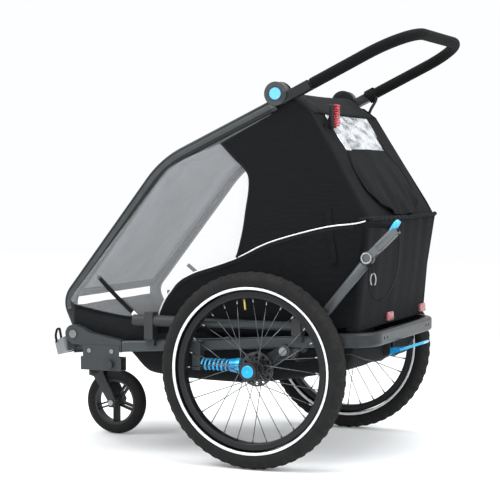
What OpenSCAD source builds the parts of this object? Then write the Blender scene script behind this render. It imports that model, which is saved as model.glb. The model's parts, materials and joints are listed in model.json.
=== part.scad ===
// Two-seat child bicycle trailer set up as a stroller, with its drawbar stowed on the left side.
// +X is the vehicle's left, -Y its front and +Z up. The origin is on the ground, under the middle
// of the length. Shapes are drawn with the wheel axle at y = 0 and moved back by axle_y at the end.

/* [Wheels] */
// Outer diameter of the large tyres
wheel_d = 508; // [490:1:512]
// Width of the large tyres
tyre_w = 50; // [44:1:50]
// Distance between the middles of the large wheels
track = 741; // [741:1:760]
// Spokes in each large wheel
spoke_count = 28; // [20:4:36]
// Outer diameter of the caster wheel
caster_d = 188; // [176:1:188]

/* [Frame] */
// Middle of a side rail, from the centre line
rail_x = 303; // [302:1:304]
// Middle of an upper frame tube, from the centre line
tube_x = 262; // [260:1:262]
// Depth of an upper frame tube, along the side of the trailer
tube_depth = 32; // [26:1:34]
// Width of an upper frame tube, across the trailer
tube_w = 26; // [22:1:26]

/* [Handlebar] */
// Radius of the hinge discs
hinge_r = 31; // [28:1:32]
// Slope of the handlebar above the horizontal
handle_slope = 26; // [20:0.5:30]
// Reach of the handlebar behind its hinge, along its slope
handle_reach = 386; // [350:1:400]
// Distance that the handle arms run below the hinge centre
handle_drop = 20; // [16:1:20]
// Corner radius of the handlebar
handle_corner_r = 125; // [90:5:140]
// Radius of the foam grip
grip_r = 15; // [13:0.5:16]

/* [Hidden] */

axle_y = 175.6;
fine = 96;
bend_steps = 10;
left = 1;
right = -1;

// Points in the side view are [y, z] with the axle at y = 0
axle = [0, wheel_d / 2];
fold_pivot = [-550, 322];
tube_knee = [-594, 410];
tube_crest = [-298, 785];
tube_top = [10, 930];
hinge = [26, 964];
arm_pivot = [70, 302];
spring_z = 260;
hoop_pivot = [120, 325];
hoop_top = [268, 634];
pedal_pivot = [245, 275];
hitch_pivot = [294, 546];
caster_axis_y = -640;
caster_centre = [-583, caster_d / 2];

rail_w = 24;
rail_h = 30;
rail_front = [-403.8, 293];
rail_rear = [198, 330.6];
rail_face = rail_x + rail_w / 2;
bumper_z = 333.5;
bumper_arm_x = 303;
bumper_y = 288;
wheel_x = track / 2;
fold_bolt_r = 6;
arm_bolt_r = 5.4;
axle_r = 8;
run = 0.05;
drawbar_x = 322;
drawbar_r = 12;
drawbar_z = 367;
hitch_pin_r = 6;
rear_slope = atan2(915 - 641, 287 - 118);

// ---- helpers ----

function along(a) = [cos(a), sin(a)];
function heading(p, q) = atan2(q.y - p.y, q.x - p.x);
function turned(a, b) = let (d = b - a) d > 180 ? d - 360 : d < -180 ? d + 360 : d;
function arc(centre, r, a, b, steps) =
    [for (i = [0 : steps]) centre + r * along(a + (b - a) * i / steps)];

module rounded_rect(w, h, r) {
    square([w - 2 * r, h], center = true);
    square([w, h - 2 * r], center = true);
    for (i = [-1, 1], j = [-1, 1])
        translate([i * (w / 2 - r), j * (h / 2 - r)])
            circle(r, $fn = 32);
}

module hollow_rect(w, h, r, wall) {
    difference() {
        rounded_rect(w, h, r);
        rounded_rect(w - 2 * wall, h - 2 * wall, r - wall);
    }
}

module ring(outer, inner) {
    difference() {
        circle(outer, $fn = 48);
        circle(inner, $fn = 48);
    }
}

// The points of a rounded path, moved off to the left of its direction
function beside(path, radii, off) =
    let (
        last = len(path) - 1,
        ways = [for (i = [0 : last - 1]) heading(path[i], path[i + 1])]
    )
    concat(
        [path[0] + off * along(ways[0] + 90)],
        [for (i = [1 : 1 : last - 1])
            let (
                bend = turned(ways[i - 1], ways[i]),
                side = sign(bend),
                r = radii[i - 1],
                begin = path[i] - r * tan(abs(bend) / 2) * along(ways[i - 1]),
                centre = begin + r * along(ways[i - 1] + 90 * side),
                a = ways[i - 1] - 90 * side
            )
            each arc(centre, r - side * off, a, a + bend, bend_steps)],
        [path[last] + off * along(ways[last - 1] + 90)]
    );

// The outline of a strip of even width along a rounded path
module strip(path, radii, width) {
    near = beside(path, radii, -width / 2);
    far = beside(path, radii, width / 2);
    polygon(concat(near, [for (i = [len(far) - 1 : -1 : 0]) far[i]]));
}

// A bar whose middle line runs through path, in the XY plane, with rounded square corners
module bent_bar(path, radii) {
    last = len(path) - 1;
    ways = [for (i = [0 : last - 1]) heading(path[i], path[i + 1])];
    bends = [for (i = [1 : last - 1]) turned(ways[i - 1], ways[i])];
    cuts = [0, for (i = [0 : len(bends) - 1]) radii[i] * tan(abs(bends[i]) / 2), 0];
    for (i = [0 : last - 1])
        translate(path[i] + cuts[i] * along(ways[i]))
            rotate([0, 0, ways[i]])
                rotate([90, 0, 90])
                    linear_extrude(norm(path[i + 1] - path[i]) - cuts[i] - cuts[i + 1])
                        children();
    for (i = [0 : len(bends) - 1]) {
        side = sign(bends[i]);
        begin = path[i + 1] - cuts[i + 1] * along(ways[i]);
        start = side > 0 ? ways[i] - 90 : ways[i] + 90 + bends[i];
        translate(begin + radii[i] * along(ways[i] + side * 90))
            rotate([0, 0, start])
                rotate_extrude(angle = abs(bends[i]), $fn = fine)
                    translate([radii[i], 0])
                        children();
    }
}

// Turns the XY plane into the side view: x becomes Y, y becomes Z and z becomes X
module side_view(x = 0) {
    translate([x, 0, 0])
        rotate([90, 0, 90])
            children();
}

module side_plate(x, thickness, outline) {
    side_view(x)
        linear_extrude(thickness)
            polygon(outline);
}

module x_rod(x_from, x_to, at, r) {
    side_view(x_from)
        translate(at)
            cylinder(h = x_to - x_from, r = r, $fn = fine);
}

module y_rod(y_from, y_to, x, z, r) {
    translate([x, y_from, z])
        rotate([-90, 0, 0])
            cylinder(h = y_to - y_from, r = r, $fn = fine);
}

module on(side) {
    if (side > 0)
        children();
    else
        mirror([1, 0, 0])
            children();
}

module both() {
    on(left) children();
    on(right) children();
}

// A sheet that leans sideways: x goes evenly from low.x at height low.y to high.x at height high.y
module leaning_sheet(outline, low, high, thickness) {
    lean = atan2(high.x - low.x, high.y - low.y);
    translate([low.x, 0, low.y])
        rotate([0, lean, 0])
            side_plate(0, thickness, [for (p = outline) [p.x, (p.y - low.y) / cos(lean)]]);
}

// A round tube swept along a list of 3-D points
module swept_tube(points, r, sides) {
    last = len(points) - 1;
    rings = [for (i = [0 : last])
        let (
            ahead = points[min(i + 1, last)] - points[max(i - 1, 0)],
            way = ahead / norm(ahead),
            spare = abs(way.z) > 0.8 ? [1, 0, 0] : [0, 0, 1],
            u = cross(way, spare) / norm(cross(way, spare)),
            v = cross(way, u)
        )
        for (k = [0 : sides - 1])
            points[i] + r * (cos(360 * k / sides) * u + sin(360 * k / sides) * v)];
    polyhedron(rings, concat(
        [[for (k = [0 : sides - 1]) k]],
        [[for (k = [sides - 1 : -1 : 0]) last * sides + k]],
        [for (i = [0 : last - 1], k = [0 : sides - 1])
            let (m = (k + 1) % sides)
            [i * sides + m, i * sides + k, (i + 1) * sides + k, (i + 1) * sides + m]]
    ));
}

// ---- chassis ----

module side_rails() {
    color("dimgray")
        both()
            side_view(rail_x)
                bent_bar([rail_front, rail_rear], [])
                    hollow_rect(rail_h, rail_w, 6, 2.5);
}

module corner_castings() {
    outline = [[-572, 330], [-556, 295], [-500, 291], [-405, 277], [-405, 309], [-500, 326], [-530, 342]];
    color("dimgray")
        both()
            difference() {
                union() {
                    side_plate(277, 40, outline);
                    x_rod(277, 317, fold_pivot, 25);
                }
                x_rod(270, 320, fold_pivot, fold_bolt_r);
            }
}

module front_bumper() {
    slope = 14.7;
    depth = 40;
    path = [[300, 60], [300, -10], [75, -176], [-75, -176], [-300, -10], [-300, 60]];
    color("dimgray")
        difference() {
            translate([0, -560, 298])
                rotate([slope, 0, 0])
                    translate([0, 0, -depth / 2])
                        linear_extrude(depth)
                            strip(path, [60, 110, 110, 60], 26);
            translate([-400, -578, 0])
                cube([800, 300, 600]);
        }
}

module rear_bumper_bar(deep, tall) {
    path = [
        [bumper_arm_x, 200], [bumper_arm_x, bumper_y], [-bumper_arm_x, bumper_y], [-bumper_arm_x, 200]
    ];
    translate([0, 0, bumper_z])
        bent_bar(path, [85, 85])
            rounded_rect(deep, tall, 8);
}

module rear_bumper() {
    color("dimgray")
        difference() {
            rear_bumper_bar(22, 38);
            for (x = [-200, -176, 176, 200])
                y_rod(bumper_y - 20, bumper_y + 20, x, bumper_z, 4);
        }
}

module cross_tubes() {
    lug = [[235, 322], [235, 272], [240, 265], [250, 265], [255, 272], [255, 322]];
    color("dimgray") {
        x_rod(-277, 277, [-530, 303], 10);
        x_rod(-291, 291, [-175, 300], 11);
        x_rod(-291, 291, [108, 306], 10);
        difference() {
            x_rod(-292, 292, [245, 322], 10);
            rear_bumper_bar(22.4, 38.4);
        }
        for (x = [-18, 14])
            side_plate(x, 4, lug);
        x_rod(-18, 18, pedal_pivot, 5);
    }
}

module floor_tub() {
    wall = 3;
    half = 266;
    outer = [[-480, 325], [-480, 292], [-412, 277], [-351, 219], [-232, 209], [-86, 206],
        [190, 246], [232, 262], [232, 318]];
    inner = [[-477, 340], [-477, 295], [-410.5, 280], [-349.5, 222], [-232, 212], [-86, 209],
        [189.5, 249], [229, 264], [229, 340]];
    nose = [[-480, 321], [-574, 345], [-594, 384], [-591, 386], [-571, 349], [-480, 325]];
    color("#202326")
        difference() {
            union() {
                side_plate(-half, 2 * half, outer);
                side_plate(-240, 480, nose);
            }
            side_plate(wall - half, 2 * (half - wall), inner);
            x_rod(-300, 300, [-175, 300], 11.2);
            x_rod(-300, 300, [108, 306], 10.2);
        }
}

module arm_brackets() {
    lug = [[35, 304.8], [46, 284], [94, 284], [105, 309.2]];
    color("dimgray")
        both() {
            difference() {
                side_plate(292, 22, lug);
                x_rod(280, 330, arm_pivot, arm_bolt_r);
            }
            translate([rail_face + 0.2, -182, 244])
                cube([28, 22, 76]);
        }
}

module chassis_bolts() {
    color("silver")
        both() {
            x_rod(242, 321, fold_pivot, fold_bolt_r);
            x_rod(317.1, 321, fold_pivot, 11);
            x_rod(238, 242, fold_pivot, 11);
            x_rod(288, 336, arm_pivot, arm_bolt_r);
            x_rod(332.5, 336, arm_pivot, 11);
            x_rod(286, 290.9, arm_pivot, 10);
            x_rod(273, 290.9, hoop_pivot, 6);
        }
    color("silver")
        for (y = [-500, -432])
            x_rod(318.6, 321, [y, 279], 6);
}

module caster_mount() {
    color("dimgray")
        difference() {
            union() {
                translate([0, caster_axis_y, 196])
                    cylinder(h = 62, r = 19, $fn = fine);
                side_plate(-24, 48, [[-711, 248], [-711, 233], [-640, 240], [-542, 285], [-542, 300]]);
            }
            translate([0, caster_axis_y, 190])
                cylinder(h = 62, r = axle_r + run, $fn = fine);
        }
}

module drawbar_socket() {
    color("dimgray")
        difference() {
            union() {
                side_view(302)
                    translate([0, 0, -16])
                        linear_extrude(32)
                            translate([-527, 226])
                                square([122, 36]);
                translate([317.1, -520, 262])
                    cube([1.4, 110, 32]);
            }
            translate([289, -540, 229])
                cube([26, 150, 30]);
            x_rod(310, 330, [-437, 244], 4.1);
            x_rod(270, 300, [-437, 244], 4.1);
        }
}

module drawbar_holder() {
    color("dimgray")
        for (at = [[-325, 15, 300, 318], [94, drawbar_r, 326, 344.5]])
            difference() {
                union() {
                    translate([305, at[0], at[3]])
                        cube([33, 25, 390 - at[3]]);
                    translate([rail_face + 0.2, at[0], at[2]])
                        cube([14, 25, at[3] - at[2]]);
                }
                y_rod(at[0] - 1, at[0] + 26, drawbar_x, drawbar_z, at[1]);
            }
}

module drawbar_tube() {
    middle = beside([[-361, drawbar_z], [152, drawbar_z], [287, 534]], [60], 0);
    color("dimgray")
        difference() {
            union() {
                swept_tube([for (p = middle) [drawbar_x, p.x, p.y]], drawbar_r - 0.1, 12);
                x_rod(drawbar_x - 6, drawbar_x + 6, hitch_pivot, 17);
            }
            x_rod(drawbar_x - 20, drawbar_x + 20, hitch_pivot, hitch_pin_r + run);
        }
}

module drawbar_sleeve() {
    color("#202326")
        translate([drawbar_x, -362, drawbar_z])
            rotate([-90, 0, 0])
                linear_extrude(130)
                    ring(15, drawbar_r);
}

module lower_panels() {
    outline = [[-312, 319], [196, 352], [200, 357], [252, 357], [254, 400], [263, 510], [281, 620],
        [276, 630], [185, 621], [103, 602], [-70, 534], [-193, 495], [-237, 473], [-261, 445],
        [-281, 418], [-298, 378]];
    color("#1c1f22")
        both()
            leaning_sheet(outline, [293.5, 320], [308, 640], 3);
}

module luggage_box() {
    wall = 3;
    half = 262;
    outer = [[150, 357], [252, 357], [262, 510], [280, 620], [136, 620], [150, 560]];
    inner = [[153, 360], [249, 360], [259, 510], [277, 640], [139, 640], [153, 560]];
    color("#1c1f22")
        difference() {
            side_plate(-half, 2 * half, outer);
            side_plate(wall - half, 2 * (half - wall), inner);
        }
}

module reflectors() {
    color("crimson")
        for (x = [38, -260])
            translate([x - 19, 252.9, 366])
                rotate([-3.74, 0, 0])
                    cube([38, 2, 18]);
}

// ---- seats ----

module seat_cushion() {
    color("#33373c")
        side_view(-225)
            linear_extrude(450)
                translate([-38, 335.5])
                    rounded_rect(256, 34, 12);
}

module seat_back() {
    color("#33373c")
        side_plate(-225, 450, [[92, 358], [108, 358], [46, 880], [30, 880]]);
}

module harness() {
    shoulder = [[84.5, 400], [81.5, 400], [29.5, 840], [32.5, 840]];
    crotch = [[68, 356], [80, 388], [77, 389], [63, 356]];
    color("#15171a")
        both()
            for (x = [67, 157]) {
                side_plate(x - 12, 24, shoulder);
                side_plate(100, 24, crotch);
                side_plate(87, 50, [[79.5, 389], [70, 389], [66, 440], [75, 440]]);
            }
}

module brake_cables() {
    route = [[22, 244, 262], [60, 244, 258], [120, 244, 262], [200, 243, 276], [250, 241, 288],
        [272, 232, 296], [278, 205, 296], [279, 160, 290], [282, 125, 280], [294, 105, 276],
        [308, 98, 277], [318, 96, 282]];
    color("#15171a")
        both()
            swept_tube(route, 2, 8);
}

// ---- suspension and wheels ----

module spring(side) {
    turns = 6.5;
    wire = 3;
    steps = 16;
    start = -159.5;
    reach = 82;
    count = turns * steps;
    color("deepskyblue")
        on(side)
            swept_tube([for (i = [0 : count])
                [rail_face + 14.5 + 14 * cos(360 * i / steps),
                    start + wire + (reach - 2 * wire) * i / count,
                    spring_z + 14 * sin(360 * i / steps)]], wire - 0.2, 8);
}

module swingarm(side) {
    color("dimgray")
        on(side)
            difference() {
                union() {
                    x_rod(318, 332, arm_pivot, 17);
                    x_rod(318, 334, axle, 23);
                    side_plate(318, 14, [[59, 314.5], [81, 289], [19, 241], [-15, 270]]);
                    y_rod(-47.5, -20, 326, spring_z, 6);
                }
                x_rod(310, 340, arm_pivot, arm_bolt_r + run);
                x_rod(310, 340, axle, axle_r + run);
            }
}

module spring_boot(side) {
    color("deepskyblue")
        on(side)
            translate([rail_face + 14.5, -77, spring_z])
                rotate([-90, 0, 0])
                    rotate_extrude($fn = fine)
                        polygon([[0, 0], [16.5, 0], [17.5, 6], [20, 20], [20, 29], [0, 29]]);
}

module tyre(side) {
    round_r = tyre_w / 2;
    middle = wheel_d / 2 - round_r;
    color("#141414")
        on(side)
            translate([wheel_x, axle.x, axle.y])
                rotate([0, 90, 0])
                    rotate_extrude($fn = 128)
                        difference() {
                            translate([middle, 0])
                                circle(round_r, $fn = 48);
                            translate([middle - 1, 0])
                                circle(round_r - 4, $fn = 48);
                            translate([middle - 40, -11])
                                square([32, 22]);
                        }
}

module rim(side) {
    outer = wheel_d / 2 - tyre_w + 2.3;
    color("#202020")
        on(side)
            translate([wheel_x, axle.x, axle.y])
                rotate([0, 90, 0])
                    rotate_extrude($fn = 128)
                        translate([outer - 10, 0])
                            hollow_rect(20, 30, 5, 2);
}

module spokes(side) {
    spoke_r = 1.1;
    from = 26;
    to = wheel_d / 2 - tyre_w - 18.5;
    lean = 55;
    color("#303030")
        on(side)
            translate([wheel_x, axle.x, axle.y])
                for (i = [0 : spoke_count - 1]) {
                    flange = i % 2 == 0 ? 20 : -20;
                    a = 360 * i / spoke_count;
                    b = a + sign(flange) * lean;
                    p = [flange, from * cos(b), from * sin(b)];
                    q = [flange / 6, to * cos(a), to * sin(a)];
                    way = q - p;
                    translate(p)
                        rotate([0, acos(way.z / norm(way)), atan2(way.y, way.x)])
                            cylinder(h = norm(way), r = spoke_r, $fn = 16);
                }
}

module hub(side) {
    profile = [[0, -54], [8, -54], [8, -35], [14, -35], [14, -22.5], [24, -22.5], [24, -17.5],
        [14, -14], [14, 14], [24, 17.5], [24, 22.5], [22.5, 24], [22.5, 33], [16.1, 33],
        [16.1, 25], [0, 25]];
    color("#1a1a1a")
        on(side)
            translate([wheel_x, axle.x, axle.y])
                rotate([0, 90, 0])
                    rotate_extrude($fn = fine)
                        polygon(profile);
}

module brake_disc(side) {
    holes = 12;
    color("gray")
        on(side)
            translate([wheel_x - 33, axle.x, axle.y])
                rotate([0, 90, 0])
                    difference() {
                        cylinder(h = 4, r = 45, $fn = fine);
                        cylinder(h = 20, r = 14, center = true, $fn = fine);
                        for (i = [0 : holes - 1])
                            rotate([0, 0, 360 * i / holes]) {
                                translate([36, 0, -1])
                                    cylinder(h = 6, r = 4.5, $fn = 24);
                                translate([25, 0, -1])
                                    cylinder(h = 6, r = 3, $fn = 24);
                            }
                    }
}

module hub_cap(side) {
    color("deepskyblue")
        on(side)
            translate([wheel_x, axle.x, axle.y])
                rotate([0, 90, 0])
                    rotate_extrude($fn = fine)
                        polygon([[0, 28.5], [16, 28.5], [16, 34], [14.5, 35.5], [0, 36]]);
}

// ---- caster ----

module caster_fork() {
    leg = [[-597, 102], [-590, 80], [-575, 80], [-569, 98], [-608, 177], [-613, 190], [-653, 190],
        [-656, 172], [-640, 168]];
    color("#26282b") {
        for (x = [-36, 28])
            difference() {
                side_plate(x, 8, leg);
                x_rod(-50, 50, caster_centre, 5);
            }
        side_plate(-36, 72, [[-656, 181], [-636, 182], [-612, 187], [-613, 193], [-653, 193]]);
        translate([0, caster_axis_y, 191])
            cylinder(h = 4.5, r = 16, $fn = fine);
        translate([0, caster_axis_y, 191])
            cylinder(h = 58, r = axle_r, $fn = fine);
    }
}

module caster_tyre() {
    section_r = 19;
    color("#141414")
        translate([0, caster_centre.x, caster_centre.y])
            rotate([0, 90, 0])
                rotate_extrude($fn = fine)
                    difference() {
                        translate([caster_d / 2 - section_r, 0])
                            circle(section_r, $fn = 48);
                        translate([caster_d / 2 - 64, -30])
                            square([36, 60]);
                    }
}

module caster_wheel() {
    seat_r = caster_d / 2 - 28;
    arms = 5;
    color("#26282b")
        translate([0, caster_centre.x, caster_centre.y])
            rotate([0, 90, 0])
                difference() {
                    union() {
                        translate([0, 0, -14])
                            linear_extrude(28)
                                ring(seat_r, seat_r - 7);
                        cylinder(h = 48, r = 15, center = true, $fn = fine);
                        for (i = [0 : arms - 1], s = [-1, 1])
                            rotate([0, 0, 360 * i / arms])
                                translate([12, s * 5.5 - 2.5, -8])
                                    cube([seat_r - 16, 5, 16]);
                    }
                    cylinder(h = 80, r = 5 + run, center = true, $fn = fine);
                }
}

module caster_axle() {
    color("silver") {
        x_rod(-36.2, 36.2, caster_centre, 5);
        x_rod(36.1, 41, caster_centre, 8);
        x_rod(-41, -36.1, caster_centre, 8);
    }
}

// ---- upper frame ----

module frame_tubes() {
    wall = 2.5;
    path = [fold_pivot, tube_knee, tube_crest, tube_top];
    inside = [tube_knee + 60 * along(heading(tube_knee, tube_crest)), tube_crest, tube_top];
    bends = [50, 250];
    color("dimgray")
        both()
            difference() {
                union() {
                    side_view(tube_x - tube_w / 2)
                        linear_extrude(tube_w)
                            strip(path, bends, tube_depth);
                    x_rod(tube_x - tube_w / 2, tube_x + tube_w / 2, fold_pivot, 17);
                }
                side_view(tube_x - tube_w / 2 + wall)
                    linear_extrude(tube_w - 2 * wall)
                        strip(inside, [bends[1]], tube_depth - 2 * wall);
                x_rod(200, 300, fold_pivot, fold_bolt_r + run);
                x_rod(200, 300, hinge, hinge_r + 0.3);
            }
}

module top_cross_tube() {
    color("dimgray")
        side_view(-248.8)
            translate([-12, 918])
                linear_extrude(497.6)
                    ring(12, 10);
}

module hinge_housings() {
    color("dimgray")
        both() {
            x_rod(249, 261.8, hinge, hinge_r);
            x_rod(261.7, 269.5, hinge, 6);
        }
}

module front_mesh() {
    foot = tube_knee + 12 * along(heading(tube_knee, tube_crest));
    top = [-30, 911.2];
    color("#9aa0a8")
        side_view(-246)
            linear_extrude(492)
                strip([foot, tube_crest, top], [250], 3);
}

module roof_panel() {
    color("#1c1f22")
        side_plate(-244, 488, [[-8, 956], [-8, 953], [113, 921], [114, 924]]);
}

module canopy_sides() {
    outline = [[-66, 541], [103, 609], [185, 628], [270, 638], [280, 643], [257, 671], [192, 776],
        [113, 910], [60, 920], [20, 905], [-40, 878], [-125, 838], [-84, 800], [-43, 761],
        [-35, 715], [-57, 559]];
    color("#1c1f22")
        both()
            leaning_sheet(outline, [304, 560], [265, 915], 3);
}

module side_windows() {
    outline = [[-318, 325], [-300, 382], [-285, 423], [-265, 452], [-240, 480], [-195, 502],
        [-72, 545], [-61, 559], [-39, 715], [-47, 759], [-88, 797], [-128, 834], [-140, 838],
        [-222, 802], [-262, 780], [-280, 763], [-545, 428], [-556, 405], [-530, 354], [-410, 354],
        [-400, 325]];
    color("#dfe6ea")
        both()
            leaning_sheet(outline, [290, 320], [266, 845], 1.5);
}

module rear_plane() {
    translate([0, 118, 915])
        rotate([-rear_slope, 0, 0])
            children();
}

module rear_panel() {
    color("#1c1f22")
        rear_plane()
            linear_extrude(3)
                difference() {
                    polygon([[-262, 0], [262, 0], [308, 320], [-308, 320]]);
                    polygon([[-166, 4], [166, 4], [160, 112], [-160, 112]]);
                }
}

module rear_window() {
    color("#dfe6ea")
        rear_plane()
            translate([0, 0, 0.7])
                linear_extrude(1.5)
                    polygon([[-165, 5], [165, 5], [159, 111], [-159, 111]]);
}

module tail_light() {
    color("crimson") {
        translate([190, 160, 878])
            cylinder(h = 58, r = 10, $fn = fine);
        translate([184, 134, 900])
            cube([12, 20, 14]);
    }
}

// ---- handlebar ----

module handle_plane() {
    translate([0, hinge.x, hinge.y])
        rotate([handle_slope, 0, 0])
            translate([0, 0, -handle_drop])
                children();
}

module handle_tube() {
    root = 20;
    path = [[tube_x, root], [tube_x, handle_reach], [-tube_x, handle_reach], [-tube_x, root]];
    color("dimgray")
        difference() {
            union() {
                handle_plane()
                    bent_bar(path, [handle_corner_r, handle_corner_r])
                        circle(11, $fn = 48);
                both() {
                    x_rod(262.2, 280, hinge, hinge_r);
                    handle_plane()
                        translate([tube_x - 12.5, 6, -12.5])
                            cube([27.5, 86, 25]);
                }
            }
            both() {
                x_rod(240, 269.8, hinge, 6 + run);
                x_rod(270, 290, hinge, 15.7);
                x_rod(240, 262, hinge, hinge_r + 0.3);
            }
        }
}

module handle_grip() {
    path = [[tube_x, 96], [tube_x, handle_reach], [-tube_x, handle_reach], [-tube_x, 96]];
    color("#17191b")
        handle_plane()
            bent_bar(path, [handle_corner_r, handle_corner_r])
                ring(grip_r, 11);
}

module hinge_button(side) {
    color("skyblue")
        on(side)
            x_rod(274, 282, hinge, 15.5);
}

// ---- small moving pieces ----

module brake_pedal() {
    color("deepskyblue")
        difference() {
            union() {
                x_rod(-13, 13, pedal_pivot, 11);
                side_plate(-12, 24, [[247, 265], [300, 284], [300, 292], [245, 285]]);
                side_plate(-24, 48, [[286, 280], [350, 302], [354, 308], [348, 309], [284, 287]]);
            }
            x_rod(-20, 20, pedal_pivot, 5 + run);
        }
}

module hitch_arm() {
    elbow = hitch_pivot + 26 * along(44);
    tip = hitch_pivot + 104 * along(44);
    color("#26282b") {
        for (x = [drawbar_x - 11, drawbar_x + 6.3])
            side_view(x)
                linear_extrude(4.7) {
                    translate(hitch_pivot)
                        circle(13, $fn = 48);
                    translate(hitch_pivot)
                        rotate(44)
                            translate([0, -10])
                                square([36, 20]);
                }
        x_rod(drawbar_x - 11, drawbar_x + 11, hitch_pivot, hitch_pin_r);
        side_view(drawbar_x)
            bent_bar([elbow, tip], [])
                rounded_rect(20, 12.6, 3);
        side_view(drawbar_x)
            bent_bar([hitch_pivot + 37 * along(44), tip], [])
                rounded_rect(24, 26, 8);
    }
}

module socket_knob() {
    color("#26282b") {
        x_rod(318.2, 332, [-437, 244], 12);
        x_rod(313, 318.3, [-437, 244], 4);
    }
}

module rear_hoop() {
    run_up = norm(hoop_top - hoop_pivot);
    lean_angle = heading(hoop_pivot, hoop_top);
    x_arm = 281;
    color("dimgray")
        difference() {
            union() {
                translate([0, hoop_pivot.x, hoop_pivot.y])
                    rotate([lean_angle, 0, 0])
                        bent_bar([[x_arm, 0], [x_arm, run_up], [-x_arm, run_up], [-x_arm, 0]], [30, 30])
                            circle(7, $fn = 48);
                both()
                    x_rod(273.5, 288.5, hoop_pivot, 12);
            }
            both()
                x_rod(272, 291, hoop_pivot, 6 + run);
        }
}

// ---- every node ----

translate([0, axle_y, 0]) {
    side_rails();
    corner_castings();
    front_bumper();
    rear_bumper();
    cross_tubes();
    floor_tub();
    arm_brackets();
    chassis_bolts();
    caster_mount();
    drawbar_socket();
    drawbar_holder();
    drawbar_tube();
    drawbar_sleeve();
    lower_panels();
    luggage_box();
    reflectors();
    seat_cushion();
    seat_back();
    harness();
    brake_cables();
    spring(left);  // spring_left
    spring(right);  // spring_right
    swingarm(left);  // swingarm_left
    swingarm(right);  // swingarm_right
    spring_boot(left);  // spring_boot_left
    spring_boot(right);  // spring_boot_right
    tyre(left);  // tyre_left
    tyre(right);  // tyre_right
    rim(left);  // rim_left
    rim(right);  // rim_right
    spokes(left);  // spokes_left
    spokes(right);  // spokes_right
    hub(left);  // hub_left
    hub(right);  // hub_right
    brake_disc(left);  // brake_disc_left
    brake_disc(right);  // brake_disc_right
    hub_cap(left);  // hub_cap_left
    hub_cap(right);  // hub_cap_right
    caster_fork();
    caster_tyre();
    caster_wheel();
    caster_axle();
    frame_tubes();
    top_cross_tube();
    hinge_housings();
    front_mesh();
    roof_panel();
    canopy_sides();
    side_windows();
    rear_panel();
    rear_window();
    tail_light();
    handle_tube();
    handle_grip();
    hinge_button(left);  // hinge_button_left
    hinge_button(right);  // hinge_button_right
    brake_pedal();
    hitch_arm();
    socket_knob();
    rear_hoop();
}
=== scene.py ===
import json
import math

import bmesh
import bpy
import numpy as np
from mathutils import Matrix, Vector, noise


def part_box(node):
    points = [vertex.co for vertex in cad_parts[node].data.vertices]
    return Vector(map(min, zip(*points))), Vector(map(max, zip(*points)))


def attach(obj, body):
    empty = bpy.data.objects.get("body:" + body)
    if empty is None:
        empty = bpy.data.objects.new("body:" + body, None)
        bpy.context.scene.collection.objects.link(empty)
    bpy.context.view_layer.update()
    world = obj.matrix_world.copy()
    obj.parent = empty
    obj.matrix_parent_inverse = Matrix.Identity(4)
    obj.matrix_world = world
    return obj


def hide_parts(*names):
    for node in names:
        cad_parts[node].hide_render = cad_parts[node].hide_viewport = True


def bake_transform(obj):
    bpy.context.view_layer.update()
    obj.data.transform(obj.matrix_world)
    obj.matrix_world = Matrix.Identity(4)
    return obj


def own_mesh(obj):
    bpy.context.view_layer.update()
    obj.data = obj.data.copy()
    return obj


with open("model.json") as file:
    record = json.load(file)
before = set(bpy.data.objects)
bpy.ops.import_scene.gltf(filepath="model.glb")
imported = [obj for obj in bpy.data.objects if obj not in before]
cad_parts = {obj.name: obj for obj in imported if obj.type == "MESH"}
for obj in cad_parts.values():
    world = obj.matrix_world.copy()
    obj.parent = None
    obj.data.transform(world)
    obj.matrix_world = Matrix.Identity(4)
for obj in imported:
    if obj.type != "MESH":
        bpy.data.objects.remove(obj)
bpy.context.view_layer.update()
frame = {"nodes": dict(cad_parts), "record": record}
nodes = frame["nodes"]
tyre_low, tyre_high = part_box("tyre_left")
AXLE_Y = (tyre_low[1] + tyre_high[1]) / 2


def P(x, y, z):
    """A point in metres from millimetres measured from the wheel axle's plane."""
    return Vector((x / 1000, y / 1000 + AXLE_Y, z / 1000))


def side_line(pairs):
    """Points of the side view, (y, z) in millimetres, as flat vectors."""
    return [Vector((y, z, 0)) for y, z in pairs]


# ---------------------------------------------------------------- materials

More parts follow.
